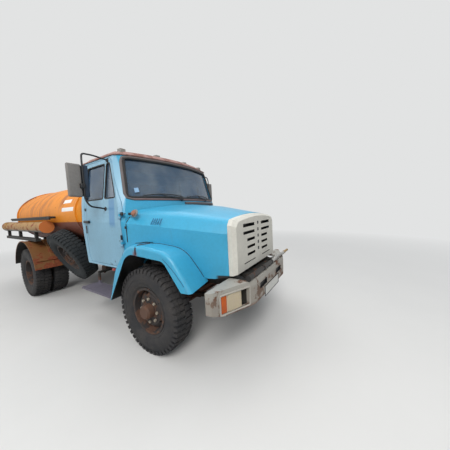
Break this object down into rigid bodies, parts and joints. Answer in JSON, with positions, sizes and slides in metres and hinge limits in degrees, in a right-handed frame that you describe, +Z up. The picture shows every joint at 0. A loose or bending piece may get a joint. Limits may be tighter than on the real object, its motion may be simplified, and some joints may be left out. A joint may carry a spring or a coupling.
{
  "type": "tanker truck",
  "caption": "Bonneted two-axle tanker truck with a hollow cab, tilting bonnet, opening doors, steered wheels, twin rear wheels and an elliptical tank with side hose cases.",
  "frame": {"origin": "on the floor, below the middle of the bounding box", "axes": "+X forward along the truck, +Y to the truck's left, +Z up"},
  "size_m": [6.64, 3.02, 2.55],
  "materials": {
    "chassis_black": "dull black paint, dusty and rusting",
    "rusty_steel": "oily forged steel with brown rust",
    "engine_grey": "oily grey paint",
    "bumper_grey": "weathered grey paint, chipped",
    "lamp_glass": "clear ribbed lens with an orange indicator",
    "pipe_steel": "worn grey paint",
    "cab_blue": "faded light blue paint, scratched",
    "door_blue": "faded grey-blue paint, scratched",
    "roof_rust": "paint worn through to pinkish brown rust",
    "glass": "clear, dusty",
    "seat_vinyl": "worn dark brown vinyl",
    "dash_grey": "faded grey-blue paint",
    "tank_orange": "orange paint with rust streaks",
    "case_orange": "ochre orange paint, rusty at the end",
    "mudguard_rust": "orange-brown paint, rusted",
    "grille_white": "off-white paint with cream and rust patches",
    "mirror_black": "black paint",
    "rim_rust": "dark paint with rust and pale nuts",
    "tyre_rubber": "worn dusty rubber"
  },
  "bodies": {
    "chassis": {"frame": "chassis_black", "leaf_springs": "rusty_steel", "front_axle": "rusty_steel", "rear_axle": "rusty_steel", "engine_block": "engine_grey", "driveline": "rusty_steel", "bumper": "bumper_grey", "lamps": "lamp_glass", "front_pipe": "pipe_steel", "cab_shell": "cab_blue", "cab_roof": "roof_rust", "cab_glass": "glass", "seats": "seat_vinyl", "dashboard": "dash_grey", "steps": "chassis_black", "fuel_tank": "chassis_black", "tank": "tank_orange", "tank_cradle": "chassis_black", "hose_cases": "case_orange", "side_bars": "chassis_black", "mudguards": "mudguard_rust", "rear_wings": "cab_blue", "spare_rim": "rim_rust", "spare_tyre": "tyre_rubber"},
    "bonnet": {"bonnet": "cab_blue", "grille": "grille_white", "front_wings": "cab_blue"},
    "door_right": {"door_right": "door_blue", "door_glass_right": "glass", "mirror_right": "mirror_black"},
    "door_left": {"door_left": "door_blue", "door_glass_left": "glass", "mirror_left": "mirror_black"},
    "tank_lid": {"tank_lid": "tank_orange"},
    "knuckle_right": {"knuckle_right": "rusty_steel"},
    "knuckle_left": {"knuckle_left": "rusty_steel"},
    "tie_rod": {"tie_rod": "rusty_steel"},
    "wheel_front_right": {"rim_front_right": "rim_rust", "tyre_front_right": "tyre_rubber"},
    "wheel_front_left": {"rim_front_left": "rim_rust", "tyre_front_left": "tyre_rubber"},
    "wheels_rear_right": {"rims_rear_right": "rim_rust", "tyres_rear_right": "tyre_rubber"},
    "wheels_rear_left": {"rims_rear_left": "rim_rust", "tyres_rear_left": "tyre_rubber"}
  },
  "joints": [
    {"name": "bonnet_tilt", "type": "hinge", "parent": "chassis", "child": "bonnet", "pos_m": [3.2, 0, 0.8], "axis": [0, 1, 0], "range_deg": [0, 40]},
    {"name": "door_right_hinge", "type": "hinge", "parent": "chassis", "child": "door_right", "pos_m": [1.755, -1.052, 1.5], "axis": [0, 0, 1], "range_deg": [0, 65]},
    {"name": "door_left_hinge", "type": "hinge", "parent": "chassis", "child": "door_left", "pos_m": [1.755, 1.052, 1.5], "axis": [0, 0, -1], "range_deg": [0, 65]},
    {"name": "lid_hinge", "type": "hinge", "parent": "chassis", "child": "tank_lid", "pos_m": [-1.294, 0, 2.484], "axis": [0, -1, 0], "range_deg": [0, 100]},
    {"name": "steer_right", "type": "hinge", "parent": "chassis", "child": "knuckle_right", "pos_m": [2.18, -0.8, 0.509], "axis": [0, 0, 1], "range_deg": [-34, 34]},
    {"name": "steer_left", "type": "hinge", "parent": "chassis", "child": "knuckle_left", "pos_m": [2.18, 0.8, 0.509], "axis": [0, 0, 1], "range_deg": [-34, 34]},
    {"name": "tie_rod_ball", "type": "hinge", "parent": "knuckle_right", "child": "tie_rod", "pos_m": [1.98, -0.8, 0.395], "axis": [0, 0, 1], "range_deg": [-34, 34]},
    {"name": "wheel_front_right_spin", "type": "hinge", "parent": "knuckle_right", "child": "wheel_front_right", "pos_m": [2.18, -0.965, 0.509], "axis": [0, 1, 0], "continuous": true},
    {"name": "wheel_front_left_spin", "type": "hinge", "parent": "knuckle_left", "child": "wheel_front_left", "pos_m": [2.18, 0.965, 0.509], "axis": [0, 1, 0], "continuous": true},
    {"name": "wheels_rear_right_spin", "type": "hinge", "parent": "chassis", "child": "wheels_rear_right", "pos_m": [-1.62, -0.925, 0.509], "axis": [0, 1, 0], "continuous": true},
    {"name": "wheels_rear_left_spin", "type": "hinge", "parent": "chassis", "child": "wheels_rear_left", "pos_m": [-1.62, 0.925, 0.509], "axis": [0, 1, 0], "continuous": true}
  ],
  "couplings": [
    {"joint": "steer_left", "follows": "steer_right", "ratio": 1},
    {"joint": "tie_rod_ball", "follows": "steer_right", "ratio": -1}
  ]
}
